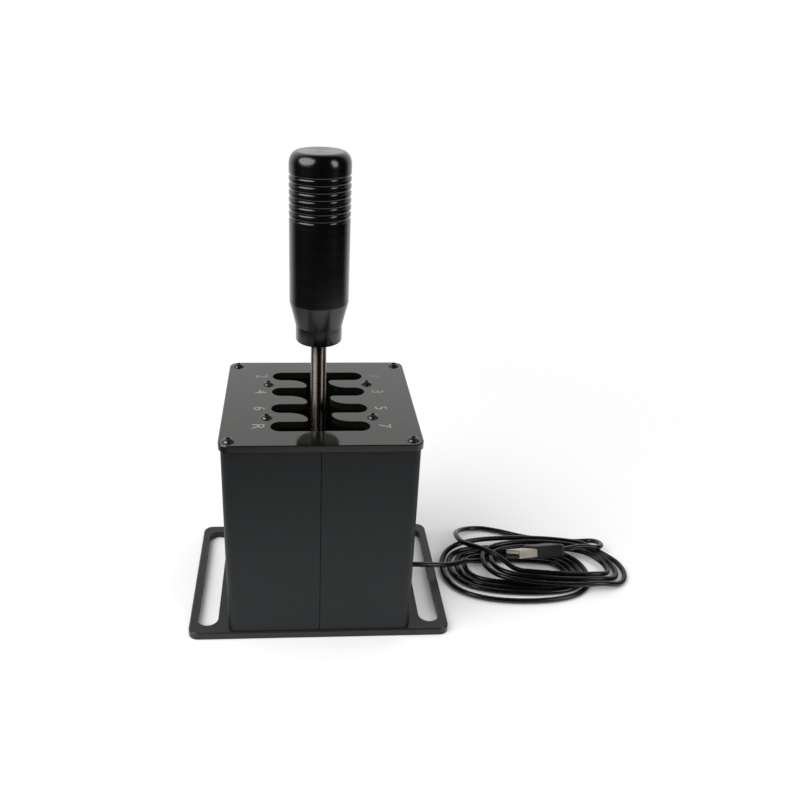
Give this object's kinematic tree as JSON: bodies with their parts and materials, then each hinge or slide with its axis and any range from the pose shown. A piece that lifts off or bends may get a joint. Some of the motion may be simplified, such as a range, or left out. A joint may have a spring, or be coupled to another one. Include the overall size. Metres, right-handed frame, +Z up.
{
  "type": "sim racing gear shifter",
  "caption": "Gear shifter for driving games: box housing on a slotted base, gate plate with shift rows, lever that slides and tilts, turned knob, and a USB cable in loops beside it.",
  "frame": {"origin": "centre of the underside of the base plate", "axes": "+X to the side with the odd gears and the cable outlet, +Y from the row nearest the driver to the far row, +Z up along the lever"},
  "size_m": [0.2505, 0.097, 0.2382],
  "materials": {
    "base_coat": "matte dark grey powder coat",
    "shell_plastic": "satin blue-black moulded plastic",
    "cover_gloss": "gloss black acrylic",
    "black_screw": "black oxide",
    "polished_steel": "polished",
    "sheet_steel": "zinc plated sheet",
    "spring_steel": "drawn wire and strip",
    "black_anodised": "black gloss anodised, turned",
    "milled_aluminium": "milled",
    "bronze": "sintered bronze",
    "brass": "turned brass",
    "nickel": "nickel plated sheet",
    "board_green": "solder resist",
    "chip_black": "moulded",
    "connector_ivory": "moulded",
    "grommet_rubber": "matte",
    "cable_pvc": "gloss black PVC",
    "plug_black": "moulded dark grey",
    "tongue_grey": "moulded"
  },
  "bodies": {
    "housing": {"base_plate": "base_coat", "left_shell": "shell_plastic", "right_shell": "shell_plastic", "cover_plate": "cover_gloss", "cover_screws": "black_screw", "gate_screws": "black_screw", "base_screws": "black_screw", "pillars": "brass", "mechanism_frame": "sheet_steel", "frame_screws": "black_screw", "cross_shaft": "polished_steel", "guide_rods": "polished_steel", "front_spring": "spring_steel", "back_spring": "spring_steel", "sensor_board": "board_green", "hall_sensors": "chip_black", "controller_chip": "chip_black", "board_connector": "connector_ivory", "board_spacers": "brass", "board_screws": "black_screw", "cable_grommet": "grommet_rubber", "inner_lead": "cable_pvc", "cable_lead": "cable_pvc", "cable_hank": "cable_pvc", "cable_tail": "cable_pvc", "plug_overmould": "plug_black", "plug_shell": "nickel", "plug_tongue": "tongue_grey", "plug_contacts": "brass"},
    "carriage": {"carriage": "milled_aluminium", "carriage_bushes": "bronze", "detent_leaf": "spring_steel", "leaf_screws": "black_screw"},
    "lever": {"lever_hub": "milled_aluminium", "hub_bush": "bronze", "magnet": "polished_steel", "lever_rod": "polished_steel", "lock_nut": "sheet_steel", "gear_knob": "black_anodised"}
  },
  "joints": [
    {"name": "select_slide", "type": "slide", "parent": "housing", "child": "carriage", "axis": [0, 1, 0], "range_m": [-0.039, 0.0195], "stiffness_N_per_m": 200, "deforming": ["front_spring", "back_spring"]},
    {"name": "shift_tilt", "type": "hinge", "parent": "carriage", "child": "lever", "pos_m": [0, 0.00975, 0.042], "axis": [0, 1, 0], "range_deg": [-14.7, 14.7], "deforming": ["detent_leaf"]}
  ]
}
